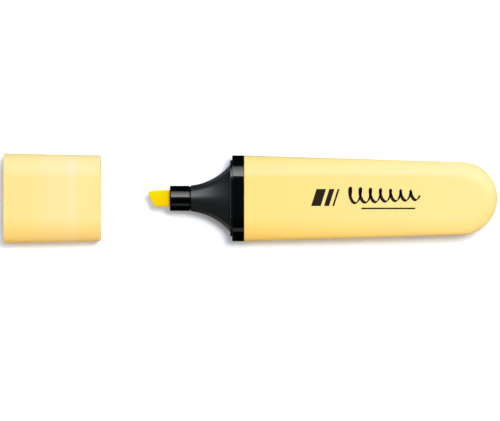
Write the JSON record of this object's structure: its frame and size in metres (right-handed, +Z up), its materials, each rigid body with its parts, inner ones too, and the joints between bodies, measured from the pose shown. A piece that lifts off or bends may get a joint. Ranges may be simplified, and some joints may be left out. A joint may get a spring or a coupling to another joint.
{
  "type": "chisel-tip highlighter",
  "caption": "Flat tapered highlighter with a round tail, black flared front section, slanted chisel nib and a pull-off cap lying open in line with it.",
  "frame": {"origin": "middle of the footprint of the pen and its open cap, on the surface that they lie on", "axes": "+X along the pen from the cap's closed end to the barrel's tail, +Y across the width, on the side of the nib's long point, +Z up, square to the flat faces"},
  "size_m": [0.1542, 0.028, 0.015],
  "materials": {
    "barrel_plastic": "pastel yellow polypropylene, satin",
    "cap_plastic": "pastel yellow polypropylene, satin",
    "front_plastic": "black polypropylene, polished",
    "nib_fibre": "bonded fibre soaked with yellow ink",
    "ink_fibre": "loose polyester fibre soaked with yellow ink",
    "wrap_film": "clear film",
    "breather_plastic": "natural polyethylene",
    "seal_plastic": "natural soft polyethylene"
  },
  "bodies": {
    "pen": {"barrel": "barrel_plastic", "front_section": "front_plastic", "nib": "nib_fibre", "reservoir_core": "ink_fibre", "reservoir_wrap": "wrap_film", "breather_tube": "breather_plastic"},
    "cap": {"cap_shell": "cap_plastic", "inner_cap": "seal_plastic"}
  },
  "joints": [
    {"name": "cap_slide", "type": "slide", "parent": "pen", "child": "cap", "axis": [1, 0, 0], "range_m": [0, 0.04105]}
  ]
}
